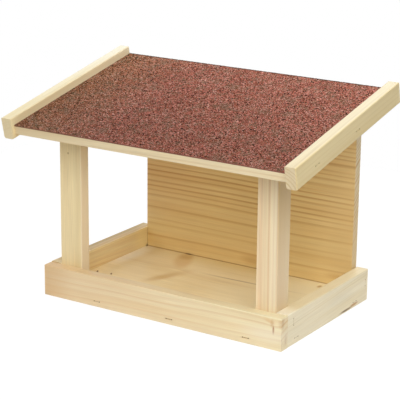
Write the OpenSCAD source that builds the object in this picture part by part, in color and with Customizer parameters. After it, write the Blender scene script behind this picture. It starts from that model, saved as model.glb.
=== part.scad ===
// Open wooden bird feeder. A feed tray of three rails round a floor board carries a back
// wall and two front posts, and these carry a single-pitch roof: a board under mineral
// felt, with a batten along each sloping side. Wire staples hold it all together.
// Millimetres. X runs along the front, Y from the front to the back, Z up.
// The origin is the middle of the tray's underside.

/* [Tray] */
// Width of the tray over its two side rails
tray_w = 330; // [260:1:420]
// Depth of the tray from the front rail's face to the back of the wall
tray_d = 206; // [170:1:280]
// Height of the front rail
front_rail_h = 38; // [30:0.5:60]
// Thickness of the front rail
front_rail_t = 14; // [10:0.5:20]
// Height of each side rail
side_rail_h = 39; // [30:0.5:60]
// Thickness of each side rail
side_rail_t = 15; // [10:0.5:20]
// Thickness of the floor board, whose underside is flush with the rails
floor_t = 13.5; // [9:0.5:20]
// Radius that eases the long edges of the rails and posts
edge_r = 0.8; // [0.3:0.1:3]

/* [Posts and wall] */
// Width of the left post, along the front
left_post_w = 31; // [20:0.5:40]
// Depth of the left post, which is cut from a flatter lath than the right one
left_post_d = 15; // [12:0.5:36]
// Width of the right post, along the front
right_post_w = 27; // [20:0.5:40]
// Depth of the right post
right_post_d = 26; // [12:0.5:36]
// Height of a post's front top edge above the tray's underside
post_h = 211; // [150:1:280]
// Thickness of the back wall
wall_t = 12; // [9:0.5:20]
// Gap between each end of the back wall and the side rail beside it
wall_gap = 1; // [0:0.1:2]

/* [Roof] */
// Pitch of the roof, rising to the back, in degrees
roof_pitch = 12; // [4:0.5:22]
// How far the roof board reaches past each side of the tray
side_overhang = 18; // [5:1:60]
// Thickness of the roof board
roof_board_t = 10; // [7:0.5:14]
// How far the roof reaches out in front of the tray
front_overhang = 35; // [10:1:70]
// How far the roof board's front edge stands back from the battens' front ends
board_setback = 4; // [0:0.5:12]
// Thickness of the roofing felt
felt_t = 1.5; // [1:0.1:3]
// Gap between each side of the felt and the batten beside it
felt_gap = 0.4; // [0:0.1:0.9]

/* [Battens] */
// Thickness of each batten, across the roof
batten_w = 14; // [10:0.5:24]
// Height of each batten
batten_h = 26; // [23:0.5:40]
// How far the battens stand above the felt
batten_proud = 9; // [2:0.5:10]
// Radius that eases the long edges of the battens
batten_r = 1.4; // [0.4:0.1:3]

/* [Staples] */
// Width of a staple over its crown
staple_crown = 9; // [6:0.5:10]
// Length of a staple's legs, crown included
staple_leg = 28; // [24:1:32]
// Width of the square staple wire
staple_wire = 1.2; // [0.8:0.1:1.6]
// Depth of a staple's crown below the face of the wood
staple_sink = 0.5; // [0.2:0.1:1]
// Play between a staple and the wood round it
staple_fit = 0.05; // [0.02:0.01:0.1]
// First staple of the front rail, from the rail's left end
front_staple_left = 78; // [40:1:110]
// Last staple of the front rail, from the rail's right end
front_staple_right = 46; // [40:1:110]
// Floor staples of a side rail, from the front rail and from the wall
side_staple_inset = 20; // [10:1:50]
// Height of the staples that hold the posts
post_staple_z = 27; // [22:0.5:28]
// Height of the staples that hold the ends of the wall
wall_staple_z = 23; // [22:0.5:28]
// Outer staples along the foot of the wall, from the ends of the tray
foot_staple_inset = 60; // [45:1:110]
// Outer staples along the top of the wall, from the ends of the tray
top_staple_inset = 70; // [45:1:110]
// First staple of a batten, from its front end
batten_staple_front = 44; // [20:1:70]
// Last staple of a batten, from its back end
batten_staple_back = 104; // [20:1:120]

/* [Hidden] */
$fn = 48;

// Colours of the planed wood in light and in shade, of the felt and of the staple wire
pale_wood = "#E9D5A8";
warm_wood = "#D9B877";
felt_red = "#8A5248";
wire_grey = "#8D8B86";

// Faces of the tray
front_y = -tray_d / 2;
back_y = tray_d / 2;
rail_x = tray_w / 2;
inner_x = rail_x - side_rail_t;
floor_y = front_y + front_rail_t;
wall_y = back_y - wall_t;

// Middle of the wall's thickness, of each post and of the floor's thickness
wall_mid_y = wall_y + wall_t / 2;
left_post_mid = [left_post_w / 2 - inner_x, floor_y + left_post_d / 2];
right_post_mid = [inner_x - right_post_w / 2, floor_y + right_post_d / 2];
floor_mid_z = floor_t / 2;

// Roof frame: its origin lies under the battens' front ends, on the board's underside
batten_top = roof_board_t + felt_t + batten_proud;
batten_drop = batten_h - batten_top;
eave_y = front_y - front_overhang + batten_top * sin(roof_pitch);
eave_z = roof_z(eave_y);
roof_len = (back_y - eave_y - batten_drop * sin(roof_pitch)) / cos(roof_pitch);
board_len = roof_len - board_setback;
batten_x = rail_x + side_overhang;

// Staple positions along the rails, the wall and the roof
staple_grip = staple_leg + staple_sink - roof_board_t;
front_first_x = front_staple_left - rail_x;
front_last_x = rail_x - front_staple_right;
front_staples_x = [front_first_x, (front_first_x + front_last_x) / 2, front_last_x];
side_staples_y = [floor_y + side_staple_inset, wall_y - side_staple_inset];
foot_staples_x = [foot_staple_inset - rail_x, 0, rail_x - foot_staple_inset];
top_staples_x = [top_staple_inset - rail_x, 0, rail_x - top_staple_inset];
batten_staples_y = [batten_staple_front, roof_len - batten_staple_back];

// Reach of the cutting shapes: past every piece, and past the face of the wood
reach = 2 * (tray_w + tray_d + post_h);
slot_open = 1;

// Height of the roof board's underside above a point of the tray
function roof_z(y) = post_h + (y - floor_y) * tan(roof_pitch);

// Place along the roof frame of a roof staple whose legs keep to the middle of a piece at y
function under_staple(y) = (y - eave_y) / cos(roof_pitch) - staple_grip / 2 * tan(roof_pitch);

module on_roof() {
    translate([0, eave_y, eave_z])
        rotate([roof_pitch, 0, 0])
            children();
}

module on_left() {
    mirror([1, 0, 0])
        children();
}

// Lath standing along Z from the origin, with its four long edges eased
module lath(w, d, len, r) {
    linear_extrude(len) {
        translate([r, 0])
            square([w - 2 * r, d]);
        translate([0, r])
            square([w, d - 2 * r]);
        for (x = [r, w - r], y = [r, d - r])
            translate([x, y])
                circle(r);
    }
}

// Staple with its crown along X at the face z = 0, and its legs down into the wood
module staple_shape(grow, top) {
    outer = staple_crown / 2 + grow;
    inner = staple_crown / 2 - staple_wire - grow;
    under = -staple_sink - staple_wire - grow;
    tip = -staple_sink - staple_leg - grow;
    rotate([90, 0, 0])
        linear_extrude(staple_wire + 2 * grow, center = true)
            polygon([[-outer, tip], [-inner, tip], [-inner, under], [inner, under],
                [inner, tip], [outer, tip], [outer, top], [-outer, top]]);
}

module staple() {
    color(wire_grey)
        staple_shape(0, -staple_sink);
}

module slot() {
    staple_shape(staple_fit, slot_open);
}

// Front rail into the floor's front edge
module at_front_rail() {
    for (x = front_staples_x)
        translate([x, front_y, floor_mid_z])
            rotate([90, 0, 0])
                children();
}

// Right rail into the floor's side edge
module at_rail_foot() {
    for (y = side_staples_y)
        translate([rail_x, y, floor_mid_z])
            rotate([0, 90, 0])
                rotate([0, 0, 90])
                    children();
}

// Right rail into a post whose depth is centred on y
module at_post_foot(y) {
    translate([rail_x, y, post_staple_z])
        rotate([0, 90, 0])
            children();
}

// Right rail into the wall's end
module at_wall_end() {
    translate([rail_x, wall_mid_y, wall_staple_z])
        rotate([0, 90, 0])
            children();
}

// Back wall into the floor's back edge
module at_wall_foot() {
    for (x = foot_staples_x)
        translate([x, back_y, floor_mid_z])
            rotate([-90, 0, 0])
                children();
}

// Roof board into the top of each post
module at_post_top() {
    for (mid = [left_post_mid, right_post_mid])
        on_roof()
            translate([mid[0], under_staple(mid[1]), roof_board_t])
                children();
}

// Roof board into the wall's top edge
module at_wall_top() {
    for (x = top_staples_x)
        on_roof()
            translate([x, under_staple(wall_mid_y), roof_board_t])
                children();
}

// Right batten into the roof board's side edge
module at_batten() {
    for (y = batten_staples_y)
        on_roof()
            translate([batten_x + batten_w, y, roof_board_t / 2])
                rotate([0, 90, 0])
                    rotate([0, 0, 90])
                        children();
}

module side_rail(post_y) {
    color(pale_wood)
        difference() {
            translate([inner_x, back_y, 0])
                rotate([90, 0, 0])
                    lath(side_rail_t, side_rail_h, tray_d - front_rail_t, edge_r);
            at_rail_foot() slot();
            at_post_foot(post_y) slot();
            at_wall_end() slot();
        }
}

// Post from the floor up, sawn off along the roof
module post(x, w, d) {
    difference() {
        translate([x, floor_y, floor_t])
            lath(w, d, reach, edge_r);
        on_roof()
            translate([-reach / 2, -reach, 0])
                cube([reach, 2 * reach, 2 * reach]);
        at_post_top() slot();
    }
}

module batten() {
    color(pale_wood)
        difference() {
            on_roof()
                translate([batten_x, roof_len, -batten_drop])
                    rotate([90, 0, 0])
                        lath(batten_w, batten_h, roof_len, batten_r);
            at_batten() slot();
        }
}

module floor_board() {
    color(pale_wood)
        difference() {
            translate([-inner_x, floor_y, 0])
                cube([2 * inner_x, wall_y - floor_y, floor_t]);
            at_front_rail() slot();
            at_rail_foot() slot();
            on_left() at_rail_foot() slot();
            at_wall_foot() slot();
        }
}

module front_rail() {
    color(pale_wood)
        difference() {
            translate([-rail_x, front_y, 0])
                rotate([90, 0, 90])
                    lath(front_rail_t, front_rail_h, tray_w, edge_r);
            at_front_rail() slot();
        }
}

module left_rail() {
    on_left() side_rail(left_post_mid[1]);
}

module right_rail() {
    side_rail(right_post_mid[1]);
}

module back_wall() {
    end_x = inner_x - wall_gap;
    color(warm_wood)
        difference() {
            translate([-end_x, 0, 0])
                rotate([90, 0, 90])
                    linear_extrude(2 * end_x)
                        polygon([[wall_y, 0], [back_y, 0], [back_y, roof_z(back_y)],
                            [wall_y, roof_z(wall_y)]]);
            at_wall_end() slot();
            on_left() at_wall_end() slot();
            at_wall_foot() slot();
            at_wall_top() slot();
        }
}

module left_post() {
    color(pale_wood)
        difference() {
            post(-inner_x, left_post_w, left_post_d);
            on_left() at_post_foot(left_post_mid[1]) slot();
        }
}

module right_post() {
    color(pale_wood)
        difference() {
            post(inner_x - right_post_w, right_post_w, right_post_d);
            at_post_foot(right_post_mid[1]) slot();
        }
}

module roof_board() {
    color(pale_wood)
        difference() {
            on_roof()
                translate([-batten_x, board_setback, 0])
                    cube([2 * batten_x, board_len, roof_board_t]);
            at_post_top() slot();
            at_wall_top() slot();
            at_batten() slot();
            on_left() at_batten() slot();
        }
}

module roof_felt() {
    color(felt_red)
        on_roof()
            translate([felt_gap - batten_x, board_setback, roof_board_t])
                cube([2 * (batten_x - felt_gap), board_len, felt_t]);
}

module left_batten() {
    on_left() batten();
}

module right_batten() {
    batten();
}

module front_rail_staples() {
    at_front_rail() staple();
}

module left_rail_staples() {
    on_left() at_rail_foot() staple();
}

module right_rail_staples() {
    at_rail_foot() staple();
}

module left_post_staple() {
    on_left() at_post_foot(left_post_mid[1]) staple();
}

module right_post_staple() {
    at_post_foot(right_post_mid[1]) staple();
}

module left_wall_staple() {
    on_left() at_wall_end() staple();
}

module right_wall_staple() {
    at_wall_end() staple();
}

module wall_foot_staples() {
    at_wall_foot() staple();
}

module roof_post_staples() {
    at_post_top() staple();
}

module roof_wall_staples() {
    at_wall_top() staple();
}

module left_batten_staples() {
    on_left() at_batten() staple();
}

module right_batten_staples() {
    at_batten() staple();
}

floor_board();
front_rail();
left_rail();
right_rail();
back_wall();
left_post();
right_post();
roof_board();
roof_felt();
left_batten();
right_batten();
front_rail_staples();
left_rail_staples();
right_rail_staples();
left_post_staple();
right_post_staple();
left_wall_staple();
right_wall_staple();
wall_foot_staples();
roof_post_staples();
roof_wall_staples();
left_batten_staples();
right_batten_staples();
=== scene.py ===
# %% [markdown]
# # A wooden bird feeder, dressed for its portrait
# The feeder is a tray of planed spruce laths, two posts, a back wall and a sloping roof under
# red mineral felt. The construction model already holds every piece at its real size. This lesson
# makes the wooden pieces and the felt anew in the same places, with grain, knots, staple marks,
# eased edges and grit, and gives the staples their wire finish.
# Everything stays in the construction's own frame, in metres: X runs along the front, Y from
# the front to the back, Z up, and the origin is the middle of the tray's underside.

# %% Load the construction model
import math

import bpy
from mathutils import Matrix, Vector


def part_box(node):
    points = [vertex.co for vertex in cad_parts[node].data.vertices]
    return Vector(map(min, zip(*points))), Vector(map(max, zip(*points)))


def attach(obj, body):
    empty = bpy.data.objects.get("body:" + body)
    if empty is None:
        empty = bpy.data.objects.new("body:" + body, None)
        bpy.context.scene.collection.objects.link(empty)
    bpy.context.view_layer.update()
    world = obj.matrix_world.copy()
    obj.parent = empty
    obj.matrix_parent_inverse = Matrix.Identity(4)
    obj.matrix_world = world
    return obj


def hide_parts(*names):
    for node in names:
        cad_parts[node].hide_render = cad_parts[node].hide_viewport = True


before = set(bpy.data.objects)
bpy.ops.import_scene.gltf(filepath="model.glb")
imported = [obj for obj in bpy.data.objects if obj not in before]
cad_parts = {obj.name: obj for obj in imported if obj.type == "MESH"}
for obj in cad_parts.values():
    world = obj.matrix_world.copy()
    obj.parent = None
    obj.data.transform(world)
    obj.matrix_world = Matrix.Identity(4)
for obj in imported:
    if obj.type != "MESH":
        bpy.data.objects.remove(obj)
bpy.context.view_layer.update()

MM = 0.001

# %% [markdown]
# ## The camera
# The picture was taken from the front right and from above the roof, with a long lens.
# A camera is easiest to check when it is written as a person would place it: the point it aims
# at, the angle round the object, the height angle, the distance and the small roll of the hand.
# Building its matrix from those three turns keeps the roll apart from the aim.

# %% Place the camera
AIM = Vector((-15.3, 8.9, 117.2)) * MM
AZIMUTH = math.radians(32.93)
ELEVATION = math.radians(16.27)
ROLL = math.radians(0.59)
DISTANCE = 1.8345
LENS_MM = 137.9

scene = bpy.context.scene
bpy.ops.object.camera_add()
camera = bpy.context.object
camera.name = "portrait_camera"
camera.data.lens = LENS_MM
turned = (
    Matrix.Rotation(AZIMUTH, 4, "Z")
    @ Matrix.Rotation(math.pi / 2 - ELEVATION, 4, "X")
    @ Matrix.Rotation(ROLL, 4, "Z")
)
camera.matrix_world = Matrix.Translation(AIM) @ turned @ Matrix.Translation((0, 0, DISTANCE))
scene.camera = camera
scene.view_settings.view_transform = "Standard"
print("camera at", [round(c, 3) for c in camera.matrix_world.translation])

# %% [markdown]
# ## Colours and nodes
# Colours are written as the sRGB hex values that a paint program shows, and one function turns
# them to the linear light that shaders add up. Materials are node trees, and one small function
# adds a node, sets it up and joins it to what comes before, so a tree reads from top to bottom.

# %% Helpers for materials
def linear(hex_colour):
    """The linear RGBA of an sRGB hex colour such as #E9D5A8."""
    channels = [int(hex_colour[i : i + 2], 16) / 255 for i in (1, 3, 5)]
    return [c / 12.92 if c <= 0.04045 else ((c + 0.055) / 1.055) ** 2.4 for c in channels] + [1]


def add(tree, kind, settings=None, inputs=None):
    """Adds a node. An input is a plain value, a socket, or a node whose first output is meant."""
    made = tree.nodes.new("ShaderNode" + kind)
    for name, value in (settings or {}).items():
        setattr(made, name, value)
    for name, value in (inputs or {}).items():
        if isinstance(value, bpy.types.Node):
            value = value.outputs[0]
        if isinstance(value, bpy.types.NodeSocket):
            tree.links.new(value, made.inputs[name])
        else:
            made.inputs[name].default_value = value
    return made


def new_material(name):
    """An empty material with its node tree and its surface shader."""
    material = bpy.data.materials.new(name)
    material.use_nodes = True
    return material, material.node_tree, material.node_tree.nodes["Principled BSDF"]


print("white is", linear("#FFFFFF"))

# %% [markdown]
# ## Floor, background and light
# The feeder stands on a sheet of white studio paper in soft light. Two things are needed: paper
# that looks white and still takes the shadow, and a broad key light in front, on the right, that
# is low enough to reach under the roof. Weaker boxes on the left and behind fill the rest. The
# sky shows white to the camera and to reflections, and lights the object dimly from above the
# horizon, so the wood renders about as its colours are written.

# %% White sky that lights the object dimly
SKY_LIGHT = 0.28
HORIZON = 0.1
world = bpy.data.worlds.new("studio_sky")
world.use_nodes = True
scene.world = world
sky = world.node_tree
rays = add(sky, "LightPath")
seen = add(sky, "Math", {"operation": "MAXIMUM"},
           {0: rays.outputs["Is Camera Ray"], 1: rays.outputs["Is Glossy Ray"]})
seen = add(sky, "Math", {"operation": "MAXIMUM"},
           {0: seen, 1: rays.outputs["Is Transmission Ray"]})
look = add(sky, "TexCoord")
look = add(sky, "SeparateXYZ", {}, {0: look.outputs["Generated"]})
dim = add(sky, "MapRange", {}, {"Value": look.outputs["Z"], "From Min": -HORIZON, "From Max": HORIZON,
                                "To Min": 0, "To Max": SKY_LIGHT})
brightness = add(sky, "Mix", {}, {0: seen, 2: dim, 3: 1})
background = sky.nodes["Background"]
background.inputs["Color"].default_value = linear("#FFFFFF")
sky.links.new(brightness.outputs[0], background.inputs["Strength"])
print("sky strength", SKY_LIGHT, "for light and 1 for the camera")

# %% White paper that keeps a faint shadow
PAPER_SIZE = 1.3
PAPER_GLOW = 0.75
PAPER_WHITE = 1.1     # a little over white, to make up for the share that is shaded
bpy.ops.object.select_all(action="DESELECT")
bpy.ops.mesh.primitive_plane_add(size=PAPER_SIZE)
paper = bpy.context.object
paper.name = "studio_paper"
material, tree, shader = new_material("white_studio_paper")
shader.inputs["Base Color"].default_value = linear("#F6F6F6")
shader.inputs["Roughness"].default_value = 0.9
rays = add(tree, "LightPath")
share = add(tree, "Math", {"operation": "MULTIPLY"}, {0: rays.outputs["Is Camera Ray"], 1: PAPER_GLOW})
glow = add(tree, "Emission", {}, {"Color": linear("#FFFFFF"), "Strength": PAPER_WHITE})
mixed = add(tree, "MixShader", {}, {0: share, 1: shader, 2: glow})
tree.links.new(mixed.outputs[0], tree.nodes["Material Output"].inputs["Surface"])
paper.data.materials.append(material)
print("paper", PAPER_SIZE, "m wide")

# %% Three soft boxes
LAMPS = {
    "key_softbox": {"place": (0.75, -1.05, 1.05), "size": 1.0, "power": 17.5},
    "left_softbox": {"place": (-1.5, -0.4, 0.9), "size": 1.0, "power": 10},
    "rear_softbox": {"place": (0.1, 0.65, 0.85), "size": 0.8, "power": 4.5},
}
for name, lamp in LAMPS.items():
    place = Vector(lamp["place"])
    bpy.ops.object.light_add(type="AREA", location=place)
    box = bpy.context.object
    box.name = name
    box.rotation_euler = (place - AIM).to_track_quat("Z", "Y").to_euler()
    box.data.size = lamp["size"]
    box.data.energy = lamp["power"]
    box.visible_camera = False
print("lamps", {name: lamp["power"] for name, lamp in LAMPS.items()})

# %% [markdown]
# ## Planed spruce
# Spruce is a pale softwood. A log is a stack of growth rings, each of them pale early wood that
# ends in a thin, darker line of late wood. A board shows those rings as long lines on its faces
# and as arcs on its sawn ends. Lines painted on each face would never meet at the edges, so the
# material is a solid log: rings round a heart line, which the board happens to cut. Where the
# heart lies decides whether a face shows stripes or wide flames. Object coordinates are in
# metres here, so ring widths are real sizes.

# %% Where a log lies
def log_turn(run, lean):
    """The turn that brings the grain direction to +Z, with the log leaning a little in the board."""
    straight = Vector(run).rotation_difference(Vector((0, 0, 1))).to_matrix()
    tilt = Matrix.Rotation(math.radians(lean[0]), 3, "X") @ Matrix.Rotation(math.radians(lean[1]), 3, "Y")
    return tilt @ straight


print("grain along X turns by", [round(math.degrees(a)) for a in log_turn((1, 0, 0), (0, 0)).to_euler()])

# %% [markdown]
# A log isn't straight, so its rings wander slowly along the grain. A noise that is longer than it
# is wide does that: it moves each point a little before its distance from the heart is taken, and
# so the rings stay closed and never cross.

# %% Distance from the heart
WAVE_MM = 70
WAVE_LENGTH_MM = 200


def noise_scale(width_mm, length_mm):
    """The scale that draws a noise this wide across the grain and this long along it."""
    across = 1 / (width_mm * MM)
    return (across, across, 1 / (length_mm * MM))


def in_log(tree, place, run, heart, lean, wander_mm, seed):
    """A point's place in the log, and its distance from the heart line."""
    turn = log_turn(run, lean)
    log = add(tree, "Mapping", {}, {"Vector": place.outputs["Object"], "Rotation": turn.to_euler(),
                                    "Location": -(turn @ Vector(heart)) * MM + Vector((0, 0, seed))})
    bends = add(tree, "Mapping", {}, {"Vector": log, "Scale": noise_scale(WAVE_MM, WAVE_LENGTH_MM)})
    wander = add(tree, "TexNoise", {}, {"Vector": bends, "Scale": 1, "Detail": 1.5})
    wander = add(tree, "VectorMath", {"operation": "SUBTRACT"}, {0: wander.outputs["Color"], 1: (0.5,) * 3})
    wander = add(tree, "VectorMath", {"operation": "SCALE"}, {0: wander, "Scale": 2 * wander_mm * MM})
    across = add(tree, "VectorMath", {"operation": "ADD"}, {0: log, 1: wander})
    across = add(tree, "VectorMath", {"operation": "MULTIPLY"}, {0: across, 1: (1, 1, 0)})
    radius = add(tree, "VectorMath", {"operation": "LENGTH"}, {0: across}).outputs["Value"]
    return log, radius


print("rings wander in waves", WAVE_LENGTH_MM, "mm long")

# %% [markdown]
# A knot is a branch that the board cuts across. Rings bend round it, and its own wood is brown.
# Pin knots, resin, torn bark, slow changes of tone along a board, and painted light and shade are
# coloured the same way, so all of them are marks: a centre, three radii, a colour, its strength, a
# turn and how far the rings are pushed aside. A radius of 0 lets the mark run right through the
# board in that direction. Most marks lie over the ring lines. One that lies under them tints the
# pale wood and leaves the lines as strong as they were.

# %% Knots and other marks
PUSH_REACH = 3.2      # rings bend round a knot up to this many of its radii away


def mark(centre, radii, colour, depth, push_mm=0, soft=0.5, turn=(0, 0, 0), under=False):
    """A knot, a stain, a change of tone, or painted light or shade, in millimetres and degrees."""
    return {"centre": Vector(centre) * MM, "radii": Vector(radii) * MM, "colour": colour, "depth": depth,
            "turn": [math.radians(t) for t in turn], "push": push_mm * MM, "soft": soft, "under": under}


def bend_rings(tree, place, radius, spot):
    """Pushes the rings aside round a mark, and gives the mask for the mark's colour."""
    offset = add(tree, "Mapping", {"vector_type": "TEXTURE"}, {
        "Vector": place.outputs["Object"], "Location": spot["centre"],
        "Rotation": spot["turn"], "Scale": spot["radii"]})
    away = add(tree, "VectorMath", {"operation": "LENGTH"}, {0: offset}).outputs["Value"]
    if spot["push"]:
        push = add(tree, "MapRange", {"interpolation_type": "SMOOTHERSTEP"}, {
            "Value": away, "From Min": 0, "From Max": PUSH_REACH, "To Min": spot["push"], "To Max": 0})
        radius = add(tree, "Math", {"operation": "ADD"}, {0: radius, 1: push})
    inside = add(tree, "MapRange", {"interpolation_type": "SMOOTHSTEP"}, {
        "Value": away, "From Min": 1 - spot["soft"], "From Max": 1 + spot["soft"],
        "To Min": spot["depth"], "To Max": 0})
    return radius, inside


def lay_marks(tree, colour, mark_colours):
    """A colour with each mark's own colour laid over it in turn, painted light and shade included."""
    for inside, tone in mark_colours:
        colour = add(tree, "Mix", {"data_type": "RGBA"}, {0: inside, 6: colour, 7: linear(tone)}).outputs[2]
    return colour


print("a knot bends rings up to", PUSH_REACH, "radii away")

# %% [markdown]
# Counted in ring widths, the distance from the heart tells the year, and its fraction tells the
# season. Late wood swells up towards the end of each year and stops short at the next spring.
# Ring widths drift, because good and bad years come in runs, and each year's line has a strength
# of its own. Without both, the rings would look like a machine's.

# %% Years and seasons
CLIMATE = 0.31        # a run of good or bad years lasts about three of them
FAINT_YEAR = 0.12     # the weakest line of late wood, beside the strongest


def late_wood(tree, radius, ring_mm, uneven, rise):
    """How much of a point is late wood, from 0 to 1."""
    years = add(tree, "Math", {"operation": "DIVIDE"}, {0: radius, 1: ring_mm * MM})
    slow = add(tree, "Math", {"operation": "MULTIPLY"}, {0: years, 1: CLIMATE})
    climate = add(tree, "TexNoise", {"noise_dimensions": "1D"}, {"W": slow, "Scale": 1, "Detail": 1})
    years = add(tree, "Math", {"operation": "MULTIPLY_ADD"}, {0: climate, 1: 2 * uneven, 2: years})
    season = add(tree, "Math", {"operation": "FRACT"}, {0: years})
    year = add(tree, "Math", {"operation": "FLOOR"}, {0: years})
    vigour = add(tree, "TexWhiteNoise", {"noise_dimensions": "1D"}, {"W": year})
    vigour = add(tree, "MapRange", {}, {"Value": vigour, "To Min": FAINT_YEAR, "To Max": 1})
    grow = add(tree, "MapRange", {"interpolation_type": "SMOOTHSTEP"}, {
        "Value": season, "From Min": rise[0], "From Max": rise[1]})
    rest = add(tree, "MapRange", {"interpolation_type": "SMOOTHSTEP"}, {
        "Value": season, "From Min": rise[1], "From Max": 1, "To Min": 1, "To Max": 0})
    late = add(tree, "Math", {"operation": "MULTIPLY"}, {0: grow, 1: rest})
    return add(tree, "Math", {"operation": "MULTIPLY"}, {0: late, 1: vigour})


print("the faintest year has", FAINT_YEAR, "of the strongest one's late wood")

# %% [markdown]
# Up close, planed wood is a bundle of fibres, which show as fine streaks along the grain, and its
# tone drifts in broad patches. Both are noises far longer than they are wide, read in the log's
# own coordinates, so they follow the grain of each board. A sawn end is told from a planed face
# by its normal, which runs along the grain there.

# %% Fibres, patches and sawn ends
FIBRE_MM = 1.0        # tracheids are 0.03 mm wide, and are drawn coarser here so that they show
FIBRE_LENGTH_MM = 45
PATCH_MM = 14
PATCH_LENGTH_MM = 220
PATCH_RANGE = (0.35, 0.7)
SAWN_FACING = (0.75, 0.95)    # cosines between a face's normal and the grain


def fibres(tree, log):
    """Fine streaks along the grain."""
    fine = add(tree, "Mapping", {}, {"Vector": log, "Scale": noise_scale(FIBRE_MM, FIBRE_LENGTH_MM)})
    return add(tree, "TexNoise", {}, {"Vector": fine, "Scale": 1, "Detail": 3, "Roughness": 0.6})


def patches(tree, log):
    """Broad patches that shift the tone."""
    broad = add(tree, "Mapping", {}, {"Vector": log, "Scale": noise_scale(PATCH_MM, PATCH_LENGTH_MM)})
    patch = add(tree, "TexNoise", {}, {"Vector": broad, "Scale": 1, "Detail": 2})
    return add(tree, "MapRange", {"interpolation_type": "SMOOTHSTEP"}, {
        "Value": patch, "From Min": PATCH_RANGE[0], "From Max": PATCH_RANGE[1]})


def sawn_end(tree, place, run):
    """1 on a board's sawn ends and 0 on its planed faces."""
    facing = add(tree, "VectorMath", {"operation": "DOT_PRODUCT"},
                 {0: place.outputs["Normal"], 1: Vector(run).normalized()})
    facing = add(tree, "Math", {"operation": "ABSOLUTE"}, {0: facing.outputs["Value"]})
    return add(tree, "MapRange", {"interpolation_type": "SMOOTHSTEP"}, {
        "Value": facing, "From Min": SAWN_FACING[0], "From Max": SAWN_FACING[1]})


print("spruce fibres drawn", FIBRE_MM, "mm wide")

# %% [markdown]
# The finish is laid on in layers. Early wood with its patches comes first, then the tint of a sawn
# end, the marks that lie under the rings, the late wood, the streaks of the fibres, and last the
# marks that lie over all of it. Planing leaves late wood a touch prouder than the early wood and
# the fibres a little rough, so both also go into the relief.

# %% The whole finish
END_TINT = 0.5
END_LINES = 0.3       # a sawn end shows its rings more strongly than a planed face
FIBRE_RANGE = (0.25, 0.75)
FIBRE_TONE = (0.89, 1.09)
PLANED = (0.36, 0.54)
LATE_RELIEF = 0.6
RELIEF_MM = 0.12
BUMP = 0.5


def planed_spruce(name, run, heart, ring_mm, pale, dark, blush, lines, lean, wander_mm, seed, marks,
                  uneven=1.2, rise=(0.45, 0.86), end_grain="#C9A877"):
    """Planed spruce sawn from a log: what the eye gets is warm pale wood with soft darker lines."""
    material, tree, shader = new_material(name)
    place = add(tree, "TexCoord")
    log, radius = in_log(tree, place, run, heart, lean, wander_mm, seed)
    under, over = [], []
    for spot in marks:
        radius, inside = bend_rings(tree, place, radius, spot)
        (under if spot["under"] else over).append((inside, spot["colour"]))
    late = late_wood(tree, radius, ring_mm, uneven, rise)
    fibre = fibres(tree, log)
    sawn = sawn_end(tree, place, run)

    colour = add(tree, "Mix", {"data_type": "RGBA"},
                 {0: patches(tree, log), 6: linear(pale), 7: linear(blush)})
    tint = add(tree, "Math", {"operation": "MULTIPLY"}, {0: sawn, 1: END_TINT})
    colour = add(tree, "Mix", {"data_type": "RGBA"}, {0: tint, 6: colour.outputs[2], 7: linear(end_grain)})
    colour = lay_marks(tree, colour.outputs[2], under)
    share = add(tree, "Math", {"operation": "MULTIPLY_ADD"}, {0: sawn, 1: END_LINES, 2: lines})
    strength = add(tree, "Math", {"operation": "MULTIPLY"}, {0: late, 1: share})
    colour = add(tree, "Mix", {"data_type": "RGBA"}, {0: strength, 6: colour, 7: linear(dark)})
    streak = add(tree, "MapRange", {}, {
        "Value": fibre, "From Min": FIBRE_RANGE[0], "From Max": FIBRE_RANGE[1],
        "To Min": FIBRE_TONE[0], "To Max": FIBRE_TONE[1]})
    colour = add(tree, "HueSaturation", {}, {"Color": colour.outputs[2], "Value": streak})
    colour = lay_marks(tree, colour.outputs[0], over)
    tree.links.new(colour, shader.inputs["Base Color"])

    gloss = add(tree, "MapRange", {}, {"Value": fibre, "To Min": PLANED[0], "To Max": PLANED[1]})
    tree.links.new(gloss.outputs[0], shader.inputs["Roughness"])
    height = add(tree, "Math", {"operation": "MULTIPLY_ADD"}, {0: late, 1: LATE_RELIEF, 2: fibre})
    bump = add(tree, "Bump", {}, {"Height": height, "Strength": BUMP, "Distance": RELIEF_MM * MM})
    tree.links.new(bump.outputs[0], shader.inputs["Normal"])
    shader.inputs["IOR"].default_value = 1.5
    return material


print("planed faces have a roughness of", PLANED)

# %% [markdown]
# ## Working a lath
# A planed lath is a block with four long edges eased by a stroke of sandpaper and two sawn ends
# that stay crisp. By hand it is a cube drawn out to size, with the long edges picked by their
# direction and bevelled. Sloping pieces are worked level and turned to the roof's pitch at the
# end, which is how a joiner would do it too.

# %% Picking edges
AXES = {"X": Vector((1, 0, 0)), "Y": Vector((0, 1, 0)), "Z": Vector((0, 0, 1))}
NEAR = 0.01 * MM      # what lies nearer than this to a plane lies in it


def pick_edges(piece, wanted):
    """Goes to edit mode with only those edges selected whose two ends suit the test."""
    bpy.ops.object.mode_set(mode="EDIT")
    bpy.ops.mesh.select_mode(type="EDGE")
    bpy.ops.mesh.select_all(action="DESELECT")
    bpy.ops.object.mode_set(mode="OBJECT")
    points = piece.data.vertices
    for edge in piece.data.edges:
        edge.select = wanted(*[points[i].co for i in edge.vertices])
    bpy.ops.object.mode_set(mode="EDIT")


def block(name, low, high):
    """A cube drawn out between two corners, as the stock of a piece."""
    bpy.ops.object.select_all(action="DESELECT")
    bpy.ops.mesh.primitive_cube_add(size=1, location=(low + high) / 2, scale=high - low)
    bpy.ops.object.transform_apply(location=True, rotation=True, scale=True)
    piece = bpy.context.object
    piece.name = name
    piece.data.name = name
    return piece


print("a lath runs along one of", list(AXES))

# %% Easing the edges
SAWN_EDGE = 0.3 * MM
SAWN_STEPS = 2
PLANED_STEPS = 4
ALONG = 0.98          # an edge runs along an axis if the cosine of their angle is over this


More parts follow.
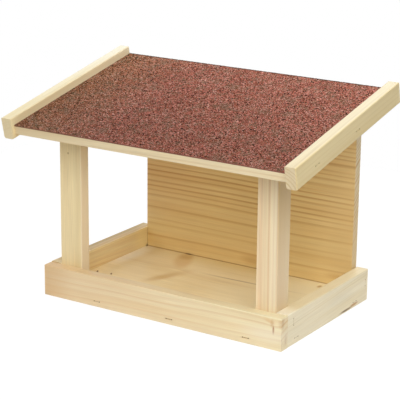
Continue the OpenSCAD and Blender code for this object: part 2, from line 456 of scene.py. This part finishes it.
def ease(piece, along, radius, which=lambda middle: True):
    """Rounds the long edges that run along an axis, or those whose middle suits the test."""
    axis = AXES[along]
    pick_edges(piece, lambda a, b: abs((b - a).normalized() @ axis) > ALONG and which((a + b) / 2))
    bpy.ops.mesh.bevel(offset=radius, segments=PLANED_STEPS, affect="EDGES")
    bpy.ops.object.mode_set(mode="OBJECT")


def crisp_ends(piece, along):
    """Takes the sharpness off the rim of each sawn end."""
    axis = AXES[along]
    reach = [v.co @ axis for v in piece.data.vertices]
    ends = (min(reach), max(reach))
    pick_edges(piece, lambda a, b: any(abs(a @ axis - e) + abs(b @ axis - e) < NEAR for e in ends))
    bpy.ops.mesh.bevel(offset=SAWN_EDGE, segments=SAWN_STEPS, affect="EDGES")
    bpy.ops.object.mode_set(mode="OBJECT")


print("sawn ends keep an edge of", SAWN_EDGE / MM, "mm")

# %% [markdown]
# ## Cutting marks
# Staples are shot a little below the face. What the eye gets is two small pits over the legs and a
# hairline over the crown. A boolean cut with three thin blocks gives just that, and a look at where
# each staple lies in the construction model says where to cut.

# %% Where the staples are
STAPLE_GAP = 15 * MM


def corners(node, turn=Matrix.Identity(3)):
    """The corner points of a construction node, turned as asked."""
    return [turn @ v.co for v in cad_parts[node].data.vertices]


def span(points):
    """The lowest and highest corner of some points."""
    return Vector(map(min, *points)), Vector(map(max, *points))


def staples(node, axis, turn=Matrix.Identity(3)):
    """The box of each staple of a node, parted where they lie well apart along an axis."""
    ordered = sorted(corners(node, turn), key=lambda c: c[axis])
    groups = [[ordered[0]]]
    for corner in ordered[1:]:
        if corner[axis] - groups[-1][-1][axis] > STAPLE_GAP:
            groups.append([])
        groups[-1].append(corner)
    return [span(group) for group in groups]


print("front rail staples at X", [round((a.x + b.x) / 2 / MM) for a, b in staples("front_rail_staples", 0)])

# %% Staple marks
PIT = 1.5 * MM
PIT_DEPTH = 1.2 * MM
PIT_REACH = 0.86      # a pit's middle lies this far along each half of the crown
HAIRLINE = 0.5 * MM
CLEAR = 2 * MM        # a cutter stands this far out of the face


def cut(piece, cutter):
    """Takes the cutter's shape out of a piece, and throws the cutter away."""
    bpy.ops.object.select_all(action="DESELECT")
    piece.select_set(True)
    bpy.context.view_layer.objects.active = piece
    carve = piece.modifiers.new("cut", "BOOLEAN")
    carve.operation = "DIFFERENCE"
    carve.solver = "EXACT"
    carve.object = cutter
    bpy.ops.object.modifier_apply(modifier=carve.name)
    bpy.data.objects.remove(cutter)


def mark_staples(piece, node, apart, out, turn=Matrix.Identity(3)):
    """Cuts the mark of every staple of a node into the face that looks along out."""
    outward = Vector(out)
    depth_axis = max(range(3), key=lambda i: abs(out[i]))
    boxes = staples(node, apart, turn)
    for low, high in boxes:
        crown_axis = max((i for i in range(3) if i != depth_axis), key=lambda i: high[i] - low[i])
        crown = AXES["XYZ"[crown_axis]] * (high - low)[crown_axis] / 2
        face = (low + high) / 2
        face[depth_axis] = (high if out[depth_axis] > 0 else low)[depth_axis]
        pits = [(face + crown * reach, PIT, PIT) for reach in (-PIT_REACH, PIT_REACH)]
        hairline = (face, crown.length * 2, HAIRLINE)
        for centre, along, width in pits + [hairline]:
            size = Vector((width,) * 3)
            size[crown_axis] = along
            size[depth_axis] = PIT_DEPTH + CLEAR
            middle = centre + outward * (CLEAR - PIT_DEPTH) / 2
            cut(piece, block("pit", middle - size / 2, middle + size / 2))
    print(piece.name, "has", len(boxes), "marks of", node)


print("a staple leaves two pits of", PIT / MM, "mm")

# %% [markdown]
# ## Finishing a piece
# Rounded edges should shade softly, and broad faces should look flat. Smoothing by angle does the
# first, and weighted normals, which let the broad faces win, do the second. Each piece then takes
# its material and stands in for its construction node.

# %% Shade and hand over
SMOOTH = math.radians(40)


def dress(piece, node, material):
    """Shades a finished piece and puts it in the place of its construction node."""
    bpy.ops.object.select_all(action="DESELECT")
    piece.select_set(True)
    bpy.context.view_layer.objects.active = piece
    bpy.ops.object.shade_smooth_by_angle(angle=SMOOTH)
    weigh = piece.modifiers.new("flat faces stay flat", "WEIGHTED_NORMAL")
    weigh.keep_sharp = True
    bpy.ops.object.modifier_apply(modifier=weigh.name)
    piece.data.materials.clear()
    piece.data.materials.append(material)
    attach(piece, "root")
    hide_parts(node)
    print(piece.name, "replaces", node, "with", len(piece.data.polygons), "faces")


print("edges stay sharp over", round(math.degrees(SMOOTH)), "degrees")

# %% [markdown]
# ## The floor board
# One flat board closes the tray. Its pith lay some way under it, so the face shows wide pale wood
# with a single flame. A knot sits against the wall, where its edge has chipped out, and two pin
# knots show near the left post. The board stops a hair short of the wall, and the chip, the pin
# knots' pits and the gap are cut as shapes, so they stay dark from every side.

# %% Floor board
FLOOR_GAP = 0.6 * MM
CHIP = Vector((11, 4, 3)) * MM
CHIP_X = -84 * MM
PIN = Vector((1.2, 1.6, 0.6)) * MM
PIN_KNOTS = [Vector((-140.5, -29.5, 13.5)), Vector((-121, -27.5, 13.5))]

floor_low, floor_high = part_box("floor_board")
floor_high.y -= FLOOR_GAP
floor_board = block("floor_board_spruce", floor_low, floor_high)
ease(floor_board, "X", SAWN_EDGE)
chip_at = Vector((CHIP_X, floor_high.y, floor_high.z))
cut(floor_board, block("chip", chip_at - CHIP / 2, chip_at + CHIP / 2))
for pin in PIN_KNOTS:
    cut(floor_board, block("pin", pin * MM - PIN / 2, pin * MM + PIN / 2))
print("floor board stops", FLOOR_GAP / MM, "mm short of the wall")

# %% Floor board's wood
# a dark brown for painted shade in the rear left corner and in the hollow behind the floor's chip
PAINTED_SHADE_BROWN = "#5A3402"
pins = [mark(pin, (1.1, 3.2, 0), "#6E4600", 0.97, soft=0.25, turn=(0, 0, 33)) for pin in PIN_KNOTS]
# the second spot is painted shade in the rear left corner, where floor, wall and rail meet
spots = [mark((113.5, 77.5, 13.5), (2.5, 4, 0), "#B48E50", 0.8, soft=0.6),
         mark((-149, 89.5, 13.5), (1.3, 2.2, 0), PAINTED_SHADE_BROWN, 1)]
knot = [mark((-76, 65, 13.5), (11, 26, 0), "#CE9C52", 0.5, push_mm=4, soft=0.45, turn=(0, 0, 25)),
        mark((-81, 81, 13.5), (8, 10, 0), "#96581C", 0.5, soft=0.7, turn=(0, 0, 25))]
flame = [mark((-60, 6, 13.5), (9, 30, 0), "#C49A50", 0.36, soft=0.7, turn=(0, 0, -24)),
         mark((-63, -3, 13.5), (6, 20, 0), "#B88A40", 0.4, soft=0.6, turn=(0, 0, -22))]
dark_line = [mark((48, 40.5, 13.5), (62, 1.6, 0), "#8F6A38", 0.6, turn=(0, 0, 2))]
# the second and fifth tones are painted light where the right post and rail shade the board, the third is
# painted shade on its left part, the sixth is painted shade with a painted warm reflection of the wall
# along the rear, and the last is painted light beside the left rail
tones_and_painted_light = [mark((60, -70, 13.5), (120, 12, 0), "#E3BE8A", 0.4, soft=0.9),
         mark((150, 0, 13.5), (82, 0, 0), "#FFF6D2", 0.85, soft=0.9),
         mark((-95, 10, 13.5), (28, 60, 0), "#DFC28C", 0.45, soft=0.9),
         mark((-20, 5, 13.5), (25, 22, 0), "#DCC08A", 0.25, soft=0.9),
         mark((65, 5, 13.5), (35, 35, 0), "#FFF0C8", 0.5, soft=0.8),
         mark((-15, 90, 13.5), (85, 22, 0), "#D8BC73", 0.6, soft=0.9),
         mark((-146, 52, 13.5), (13, 40, 0), "#FFFAEE", 0.7, soft=0.6)]
spruce_floor = planed_spruce(
    "planed_spruce_floor", (1, 0, 0), (0, 62, -40), 30, "#F5E3B9", "#CDAA70", "#EFDBAC",
    lines=0.3, lean=(0, 1.2), wander_mm=5, uneven=1.5, rise=(0.7, 0.93), seed=0.4,
    marks=knot + flame + dark_line + tones_and_painted_light + pins + spots)
dress(floor_board, "floor_board", spruce_floor)

# %% [markdown]
# ## The front rail
# The front rail runs over the whole width, so both its sawn ends show. Its grain runs slightly
# downhill, and at the right end it flows round a small knot with a resin split below it. The split
# is cut like the staple marks. It is painted darker and browner towards the left end, as shade,
# and two of the staples have stained it.

# %% Front rail
EASED = 0.8 * MM
SPLIT_LOW = Vector((154.7, -104, 20)) * MM
SPLIT_HIGH = Vector((155, -102.7, 27)) * MM

front_rail = block("front_rail_spruce", *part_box("front_rail"))
ease(front_rail, "X", EASED)
crisp_ends(front_rail, "X")
mark_staples(front_rail, "front_rail_staples", 0, (0, -1, 0))
cut(front_rail, block("split", SPLIT_LOW, SPLIT_HIGH))

# %% Front rail's wood
STAIN = (5.5, 0, 0.9)
staple_stains = [mark((low + high) / 2 / MM, STAIN, "#B88232", 0.42, soft=0.6)
                 for low, high in staples("front_rail_staples", 0)[1:]]
painted_shade_left_end = [mark((-165, 0, 20), (150, 0, 0), "#DABA90", 0.55, soft=0.9),
             mark((-165, 0, 20), (26, 0, 0), "#C89E68", 0.45, soft=0.9)]
knot = [mark((149, 0, 33.5), (6, 0, 2), "#D6A464", 0.42, push_mm=3, soft=0.8, turn=(0, 20, 0)),
        mark((153, 0, 31), (2, 0, 4), "#B5763A", 0.4, soft=0.7),
        mark((154.8, 0, 23.5), (1.1, 0, 4.5), "#A2581C", 0.85)]
end_stains = [mark((165, -100.5, 33), (4, 3.5, 6), "#B07A40", 0.45, soft=0.7),
              mark((165, -93, 12), (3, 2.5, 6), "#A06A32", 0.4, soft=0.6)]
# the first tone is a painted highlight along the top edge on the right, and the fifth is painted shade
# along the top edge on the left
tones_and_painted_light = [mark((150, -96, 38), (80, 0, 1.2), "#F2ECC8", 0.65),
         mark((95, -103, 18), (60, 0, 16), "#E8D5AC", 0.3, soft=0.8),
         mark((110, -103, 33), (70, 0, 5), "#DCC08C", 0.25, soft=0.7),
         mark((150, -103, 16), (30, 0, 7), "#EFE6D0", 0.4, soft=0.7),
         mark((-80, -96, 38), (45, 0, 1.2), "#C8A66C", 0.3, soft=0.6),
         mark((55, -103, 4), (70, 0, 5), "#D7BC92", 0.35, soft=0.7)]
spruce_front_rail = planed_spruce(
    "planed_spruce_front_rail", (1, 0, 0), (0, -60, -90), 9, "#EBDDB8", "#D0A468", "#E6D0A4",
    lines=0.44, lean=(0, 1.6), wander_mm=6, uneven=2, rise=(0.3, 0.8), seed=1.3, end_grain="#EADAB6",
    marks=painted_shade_left_end + knot + end_stains + tones_and_painted_light + staple_stains)
dress(front_rail, "front_rail", spruce_front_rail)

# %% [markdown]
# ## The side rails
# Two rails butt against the front rail's back and run to the back of the wall. The right one was
# cut close to the bark: a dark sliver of bark is torn out along its lower edge. The sliver thins
# out at both ends, so its cutter is a block whose two ends are scaled down.

# %% Wood of the side rails
spruce_left_rail = planed_spruce(
    "planed_spruce_left_rail", (0, 1, 0), (-260, 0, 90), 5.5, "#F0DDAE", "#D0A466", "#E9CE98",
    lines=0.5, lean=(1.2, 0), wander_mm=3, seed=2.1,
    # the first three marks paint the top face darker and greyer as the roof's shade, the fourth is a
    # painted highlight on the inner top edge, the fifth is painted shade in the rear corner, and the last
    # is painted light on the inner face near the wall
    marks=[mark((0, 0, 39), (0, 0, 1.5), "#BFAA80", 0.55),
           mark((-162, 45, 39), (4, 90, 1.5), "#B2965A", 0.6, soft=0.4),
           mark((-152.5, 45, 39), (4.5, 90, 1.5), "#CFA662", 0.5, soft=0.4),
           mark((-150, 0, 38), (1.5, 0, 2), "#FFF0C4", 0.6, soft=0.6),
           mark((-150, 90, 13.5), (1.5, 1.8, 2.2), PAINTED_SHADE_BROWN, 1),
           mark((-150, 90, 25), (1.5, 22, 0), "#FFEAAA", 0.6, soft=0.7)])
spruce_right_rail = planed_spruce(
    "planed_spruce_right_rail", (0, 1, 0), (210, 0, 130), 4.6, "#EFE3C4", "#CDB482", "#E7D8B2",
    lines=0.36, lean=(-2.4, 0), wander_mm=3.5, seed=3.7,
    # the first mark paints the top face darker, as the roof's shade
    marks=[mark((0, 0, 39), (0, 0, 1.5), "#E6D4A4", 0.45),
           mark((165, -40, 7), (0, 60, 6), "#F5EDD8", 0.4, soft=0.8),
           mark((165, 30, 20), (0, 25, 6), "#C9C1AC", 0.25, soft=0.9),
           mark((157, -89, 39), (0, 20, 1.5), "#FCF4DC", 0.7, soft=0.6),
           mark((165, 49, 2.6), (0, 14, 1.1), "#6E5228", 0.9),
           mark((165, 69, 4), (0, 9, 1.6), "#B47E3C", 0.75)])
print("finishes", spruce_left_rail.name, "and", spruce_right_rail.name)

# %% Side rails
BARK_LOW = Vector((164.5, 34, 1.9)) * MM
BARK_HIGH = Vector((167, 78, 3.3)) * MM
BARK_TIP = 0.2


def tapered(name, low, high, along, tip):
    """A block drawn out to a thin tip at both ends, as a cutter for torn bark."""
    piece = block(name, low, high)
    axis = AXES[along]
    for end in (low @ axis, high @ axis):
        pick_edges(piece, lambda a, b: abs(a @ axis - end) + abs(b @ axis - end) < NEAR)
        bpy.ops.transform.resize(value=(tip, tip, tip))
        bpy.ops.object.mode_set(mode="OBJECT")
    return piece


for side, out, material in (("left", -1, spruce_left_rail), ("right", 1, spruce_right_rail)):
    node = side + "_rail"
    rail = block(node + "_spruce", *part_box(node))
    ease(rail, "Y", EASED)
    crisp_ends(rail, "Y")
    for staple in ("_rail_staples", "_post_staple", "_wall_staple"):
        mark_staples(rail, side + staple, 1, (out, 0, 0))
    if side == "right":
        cut(rail, tapered("bark", BARK_LOW, BARK_HIGH, "Y", BARK_TIP))
    dress(rail, node, material)

# %% [markdown]
# ## The roof's slope
# Roof pieces are worked level and then turned. The pitch is read from the felt's own top face, so
# the dressed pieces can't miss the construction by a fraction of a degree.

# %% Read the pitch
felt_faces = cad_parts["roof_felt"].data.polygons
felt_up = max((f for f in felt_faces if f.normal.z > 0), key=lambda f: f.area).normal.copy()
PITCH = math.atan2(-felt_up.y, felt_up.z)
LEVEL = Matrix.Rotation(-PITCH, 3, "X")


def on_slope(piece):
    """Turns a level piece to the roof's pitch, with the turn left in its mesh."""
    bpy.ops.object.select_all(action="DESELECT")
    piece.select_set(True)
    bpy.context.view_layer.objects.active = piece
    piece.rotation_euler.x = PITCH
    bpy.ops.object.transform_apply(location=True, rotation=True, scale=True)


board_low, board_high = span(corners("roof_board", LEVEL))
print("pitch", round(math.degrees(PITCH), 3), "degrees")
print("roof board in mm", [round(c / MM, 1) for c in board_high - board_low])

# %% [markdown]
# ## Posts and back wall
# All three stand in the tray and are sawn off along the roof. They start as blocks of their full
# height, and bisect cuts their tops along the underside of the roof board, as a saw would. The
# left post is a flatter lath than the right one, from another log. The wall's broad rings run
# level. Its left end reaches a little nearer to the rail than in the construction model, so that
# the joint shows as a thin dark line.

# %% Posts
spruce_left_post = planed_spruce(
    "planed_spruce_left_post", (0, 0, 1), (-140, 60, 0), 7, "#EAD7A8", "#CDA870", "#E4CD9A",
    lines=0.28, lean=(0.5, 0.2), wander_mm=2, seed=4.2,
    marks=[mark((-124, -89, 0), (4, 2, 0), "#D4BC8A", 0.4, soft=0.8),
           # painted light: this mark makes the inner side face lighter
           mark((-119, 0, 0), (0.5, 0, 0), "#F0DFC2", 0.7),
           mark((-137.5, -89, 177.5), (1.1, 0, 1.3), "#8A6232", 0.6)])
spruce_right_post = planed_spruce(
    "planed_spruce_right_post", (0, 0, 1), (65, -84, 0), 6, "#EFDDB6", "#D09C68", "#EBD3AC",
    lines=0.62, lean=(0.2, 0.5), wander_mm=1.2, rise=(0.2, 0.65), seed=5.6,
    marks=[mark((134, -89, 0), (5, 3, 0), "#D6BA90", 0.3, soft=0.8),
           mark((146, -89, 0), (5, 3, 0), "#E6DABC", 0.4, soft=0.8),
           # the third mark paints the right side face darker and yellower as shade, and the fourth paints
           # the roof's shadow on its upper part
           mark((150, -70, 0), (0.6, 0, 0), "#E0C8A0", 0.7),
           mark((150, -70, 230), (1.5, 0, 90), "#BC9644", 0.65, soft=0.9)])


def saw_top(piece):
    """Cuts a piece off along the underside of the roof board."""
    bpy.ops.object.mode_set(mode="EDIT")
    bpy.ops.mesh.select_all(action="SELECT")
    under = LEVEL.inverted() @ Vector((0, 0, board_low.z))
    bpy.ops.mesh.bisect(plane_co=under, plane_no=felt_up, use_fill=True, clear_outer=True)
    bpy.ops.object.mode_set(mode="OBJECT")


for side, material in (("left", spruce_left_post), ("right", spruce_right_post)):
    node = side + "_post"
    post = block(node + "_spruce", *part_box(node))
    ease(post, "Z", EASED)
    saw_top(post)
    dress(post, node, material)

# %% Back wall
WALL_REACH = 0.7 * MM
wall_low, wall_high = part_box("back_wall")
wall_low.x -= WALL_REACH
wall = block("back_wall_spruce", wall_low, wall_high)
saw_top(wall)
crisp_ends(wall, "X")
mark_staples(wall, "wall_foot_staples", 0, (0, 1, 0))
# along the foot: two dark lines of painted shade in the joint with the floor, and spots of painted shade in
# the hollow behind the floor's chip and in the rear left corner
foot = [mark((-60, 91, 13.8), (120, 3, 0.6), "#8A4A10", 0.7),
        mark((95, 91, 13.8), (40, 3, 0.6), "#8A4A10", 0.6),
        mark((-85, 91, 13.8), (5.5, 3, 0.9), PAINTED_SHADE_BROWN, 0.8),
        mark((-149.5, 91, 13.5), (0.9, 2, 2), PAINTED_SHADE_BROWN, 1)]
# the first and fourth tones paint the right end darker, and the second the left end, as shade
tones_and_painted_light = [mark((170, 0, 130), (55, 0, 0), "#E4CA98", 0.3, soft=0.9),
         mark((-155, 0, 112), (70, 0, 42), "#D09A4C", 0.5, soft=0.9, under=True),
         mark((0, 0, 45), (260, 0, 40), "#E2C286", 0.4, soft=0.9),
         mark((158, 0, 85), (32, 0, 60), "#C9A468", 0.4, soft=0.9),
         mark((9, 0, 24), (12, 0, 5), "#C08A45", 0.35, soft=0.9),
         mark((132, 0, 25), (14, 0, 3), "#C08A45", 0.4, soft=0.9)]
spruce_wall = planed_spruce(
    "planed_spruce_back_wall", (1, 0, 0), (0, 347, -150), 4.8, "#F0D492", "#BA7A22", "#E9C682",
    lines=0.72, lean=(0, 0.3), wander_mm=1.4, uneven=0.6, rise=(0.4, 0.82), seed=6.9,
    marks=foot + tones_and_painted_light, end_grain="#D8D7C5")
dress(wall, "back_wall", spruce_wall)

# %% [markdown]
# ## Roof board and battens
# The board's front edge stays bare below the felt. The battens close its two sloping sides and
# stand proud of the felt, with rounder lower edges than upper ones, so those are eased in two
# passes while a batten still lies level.

# %% Roof board
roof_board = block("roof_board_spruce", board_low, board_high)
ease(roof_board, "X", SAWN_EDGE)
for staple in ("roof_post_staples", "roof_wall_staples"):
    mark_staples(roof_board, staple, 0, (0, 0, 1), LEVEL)
on_slope(roof_board)
spruce_roof = planed_spruce(
    "planed_spruce_roof_board", (1, 0, 0), (0, 20, 120), 5, "#E9D7B0", "#CDA670", "#E2CBA0",
    lines=0.45, lean=(0, 0.8), wander_mm=3, seed=7.5,
    # the mark paints the left part darker, as shade
    marks=[mark((-183, 0, 0), (110, 0, 0), "#D6BE92", 0.5, soft=0.9)])
dress(roof_board, "roof_board", spruce_roof)

# %% Battens
SLOPE = Vector((0, math.cos(PITCH), math.sin(PITCH)))
TOP_EASED = 1.2 * MM
FOOT_EASED = 2.6 * MM
spruce_left_batten = planed_spruce(
    "planed_spruce_left_batten", SLOPE, (-170, 0, 190), 4, "#F8EED0", "#D8BC88", "#F0E2BA",
    lines=0.25, lean=(0.4, 0.3), wander_mm=2, seed=8.8,
    # the pale base colour serves the brightly lit top, and the last mark paints the inner face darker and
    # yellower as shade
    marks=[mark((0, -137, 0), (0, 75, 0), "#E2D0A0", 0.5, soft=0.9),
           mark((0, 100, 0), (0, 70, 0), "#FFFAE8", 0.6, soft=0.9),
           mark((-183, 0, 0), (1.5, 0, 0), "#E8D2A0", 0.65, soft=0.3)])
spruce_right_batten = planed_spruce(
    "planed_spruce_right_batten", SLOPE, (172, 0, 217), 3.6, "#E5D7B2", "#BFA16A", "#DAC79B",
    lines=0.45, lean=(-0.4, 0.5), wander_mm=2, seed=9.4, end_grain="#D6BE98",
    # the mark paints the outer face yellower than the top, as shade
    marks=[mark((197, 0, 0), (1.5, 0, 0), "#E8CF90", 0.6, soft=0.3)])
for side, out, material in (("left", -1, spruce_left_batten), ("right", 1, spruce_right_batten)):
    node = side + "_batten"
    low, high = span(corners(node, LEVEL))
    middle = (low + high) / 2
    batten = block(node + "_spruce", low, high)
    ease(batten, "Y", TOP_EASED, lambda m: m.z > middle.z)
    ease(batten, "Y", FOOT_EASED, lambda m: abs(m.z - low.z) < NEAR)
    crisp_ends(batten, "Y")
    mark_staples(batten, side + "_batten_staples", 1, (out, 0, 0), LEVEL)
    on_slope(batten)
    dress(batten, node, material)

# %% [markdown]
# ## Mineral felt
# Roofing felt is a bitumen sheet with crushed slate pressed into its face. The eye sees grit: red
# and brown grains with black gaps, some grey-green ones, and cloudy patches where the mix varies.
# The grit is real relief here: a grid about as fine as a grain, pushed up and down by a cell
# pattern, because a flat sheet with bump would look like paper from the side. Under the grit the
# sheet's cut edges are brown, and bitumen darkens its rim at the rear.

# %% Felt sheet
GRAIN = 0.95 * MM
GRID = 1.0 * MM
RELIEF = 0.5 * MM
felt_low, felt_high = span(corners("roof_felt", LEVEL))
size = felt_high - felt_low
bpy.ops.object.select_all(action="DESELECT")
bpy.ops.mesh.primitive_grid_add(
    x_subdivisions=round(size.x / GRID), y_subdivisions=round(size.y / GRID), size=1,
    location=((felt_low.x + felt_high.x) / 2, (felt_low.y + felt_high.y) / 2, felt_high.z))
felt = bpy.context.object
felt.scale = (size.x, size.y, 1)
felt.name = "roof_felt_mineral"
felt.data.name = felt.name
bpy.ops.object.transform_apply(location=True, rotation=True, scale=True)
grit = bpy.data.textures.new("slate_grit", "VORONOI")
grit.noise_scale = GRAIN
grit.distance_metric = "DISTANCE"
push = felt.modifiers.new("grit", "DISPLACE")
push.texture = grit
push.texture_coords = "LOCAL"
push.direction = "Z"
push.mid_level = 0.5
push.strength = -RELIEF
bpy.ops.object.modifier_apply(modifier=push.name)
print("felt", [round(c / MM, 1) for c in size], "mm,", len(felt.data.polygons), "faces of grit")

# %% Felt edges and underside
def on_rim(a, b):
    """True for an edge on the sheet's outline."""
    sides = ((0, felt_low.x), (0, felt_high.x), (1, felt_low.y), (1, felt_high.y))
    return any(abs(a[i] - s) + abs(b[i] - s) < NEAR for i, s in sides)


pick_edges(felt, on_rim)
bpy.ops.mesh.extrude_region_move(TRANSFORM_OT_translate={"value": (0, 0, -size.z)})
bpy.ops.transform.resize(value=(1, 1, 0), center_override=(0, 0, felt_low.z))
bpy.ops.mesh.edge_face_add()
bpy.ops.mesh.select_all(action="SELECT")
bpy.ops.mesh.normals_make_consistent(inside=False)
bpy.ops.object.mode_set(mode="OBJECT")
on_slope(felt)
print("felt closed,", len(felt.data.vertices), "points")

# %% Grains of slate
MOTTLE = 13 * MM
CLOUD = 60 * MM
CLOUD_SHARE = 0.35
MIX_RANGE = (0.375, 0.975)
MIX_SHIFT = 0.1       # how far a patch moves the choice among the grains' colours
DUST_RANGE = (0.5, 0.72)
DUST = 0.5
GRIT_COLOURS = [(0, "#180702"), (0.26, "#66311C"), (0.4, "#924F3B"), (0.58, "#A46153"),
                (0.76, "#B67B6E"), (0.88, "#7C6E54"), (0.94, "#C89E90")]
material, tree, shader = new_material("mineral_bitumen_felt")
place = add(tree, "TexCoord")
cells = add(tree, "TexVoronoi", {}, {"Vector": place.outputs["Object"], "Scale": 1 / GRAIN})
pick = add(tree, "SeparateColor", {}, {"Color": cells.outputs["Color"]})
mottle = add(tree, "TexNoise", {}, {"Vector": place.outputs["Object"], "Scale": 1 / MOTTLE, "Detail": 2})
cloud = add(tree, "TexNoise", {}, {"Vector": place.outputs["Object"], "Scale": 1 / CLOUD, "Detail": 1})
shade = add(tree, "Math", {"operation": "MULTIPLY_ADD"}, {0: cloud, 1: CLOUD_SHARE, 2: mottle})
shift = add(tree, "MapRange", {}, {"Value": shade, "From Min": MIX_RANGE[0], "From Max": MIX_RANGE[1],
                                   "To Min": -MIX_SHIFT, "To Max": MIX_SHIFT})
choice = add(tree, "Math", {"operation": "ADD"}, {0: pick, 1: shift})
grains = add(tree, "ValToRGB", {}, {"Fac": choice})
grains.color_ramp.interpolation = "CONSTANT"
stops = grains.color_ramp.elements
stops.remove(stops[1])
for position, colour in GRIT_COLOURS:
    stop = stops[0] if position == 0 else stops.new(position)
    stop.color = linear(colour)
dusty = add(tree, "MapRange", {}, {"Value": mottle, "From Min": DUST_RANGE[0], "From Max": DUST_RANGE[1],
                                   "To Min": 0, "To Max": DUST})
grains = add(tree, "Mix", {"data_type": "RGBA"}, {0: dusty, 6: grains, 7: linear("#4C4430")})
print("felt has grains of", len(GRIT_COLOURS), "colours")

# %% [markdown]
# Only the face has grit. The picture shows it lighter towards the rear and a little towards the
# right, and with an olive cast on the left. The lighter rear and right are painted light, and the
# olive cast is the sheet's own colour. Each of these is a slow change along the sheet, set by the
# sheet's own edges.

# %% Felt sides, changes of tone and painted light
TOP_FACING = (0.1, 0.35)      # how far a face has to look up to carry grit
BITUMEN_RIM = 3 * MM
PAINTED_LIGHT_REARWARD = (0.93, 1.4)        # brightness at the front edge and at the rear one
PAINTED_LIGHT_RIGHTWARD = (0.93, 1.07)      # brightness at the left edge and at the right one
OLIVE_HUE = (0.52, 0.5)       # hue at the left edge and further in, where 0.5 is no change
OLIVE_REACH = 110 * MM
upward = add(tree, "VectorMath", {"operation": "DOT_PRODUCT"}, {0: place.outputs["Normal"], 1: felt_up})
top = add(tree, "MapRange", {}, {"Value": upward.outputs["Value"],
                                 "From Min": TOP_FACING[0], "From Max": TOP_FACING[1]})
face = add(tree, "Mix", {"data_type": "RGBA"}, {0: top, 6: linear("#8A5A4B"), 7: grains.outputs[2]})
slope = add(tree, "SeparateXYZ", {}, {0: place.outputs["Object"]})
rear = (LEVEL.inverted() @ felt_high).y
bitumen = add(tree, "MapRange", {}, {"Value": slope.outputs["Y"],
                                     "From Min": rear - BITUMEN_RIM, "From Max": rear})
face = add(tree, "Mix", {"data_type": "RGBA"}, {0: bitumen, 6: face.outputs[2], 7: linear("#3A2C24")})
# painted light: the sheet is made lighter towards the rear and towards the right
painted_light_rear = add(tree, "MapRange", {}, {
    "Value": slope.outputs["Y"], "From Min": felt_low.y, "From Max": felt_high.y,
    "To Min": PAINTED_LIGHT_REARWARD[0], "To Max": PAINTED_LIGHT_REARWARD[1]})
painted_light_right = add(tree, "MapRange", {}, {
    "Value": slope.outputs["X"], "From Min": felt_low.x, "From Max": felt_high.x,
    "To Min": PAINTED_LIGHT_RIGHTWARD[0], "To Max": PAINTED_LIGHT_RIGHTWARD[1]})
level = add(tree, "Math", {"operation": "MULTIPLY"}, {0: painted_light_rear, 1: painted_light_right})
olive = add(tree, "MapRange", {}, {
    "Value": slope.outputs["X"], "From Min": felt_low.x, "From Max": felt_low.x + OLIVE_REACH,
    "To Min": OLIVE_HUE[0], "To Max": OLIVE_HUE[1]})
face = add(tree, "HueSaturation", {}, {"Color": face.outputs[2], "Value": level, "Hue": olive})
tree.links.new(face.outputs[0], shader.inputs["Base Color"])
shader.inputs["Roughness"].default_value = 0.85
shader.inputs["Specular IOR Level"].default_value = 0.1
shader.inputs["IOR"].default_value = 1.5
dress(felt, "roof_felt", material)

# %% [markdown]
# ## Staple wire
# The staples are galvanised steel wire, flattened and cut. Only a little of their crowns shows,
# deep in the marks. They keep the construction's shape, and take a dull zinc finish that is browned
# by the wood round it and uneven, as drawn wire is.

# %% Galvanised wire
DRAWN = 0.4 * MM      # drawing lines are finer, and are drawn coarser here so that they show
DULL = (0.5, 0.7)
material, tree, shader = new_material("galvanised_steel_wire")
place = add(tree, "TexCoord")
spangle = add(tree, "TexNoise", {}, {"Vector": place.outputs["Object"], "Scale": 1 / DRAWN, "Detail": 3})
zinc = add(tree, "Mix", {"data_type": "RGBA"}, {0: spangle, 6: linear("#4A3A28"), 7: linear("#7A6850")})
tree.links.new(zinc.outputs[2], shader.inputs["Base Color"])
dull = add(tree, "MapRange", {}, {"Value": spangle, "To Min": DULL[0], "To Max": DULL[1]})
tree.links.new(dull.outputs[0], shader.inputs["Roughness"])
shader.inputs["Metallic"].default_value = 1
wired = [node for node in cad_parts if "staple" in node]
for node in wired:
    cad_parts[node].data.materials.clear()
    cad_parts[node].data.materials.append(material)
print(len(wired), "groups of staples galvanised")
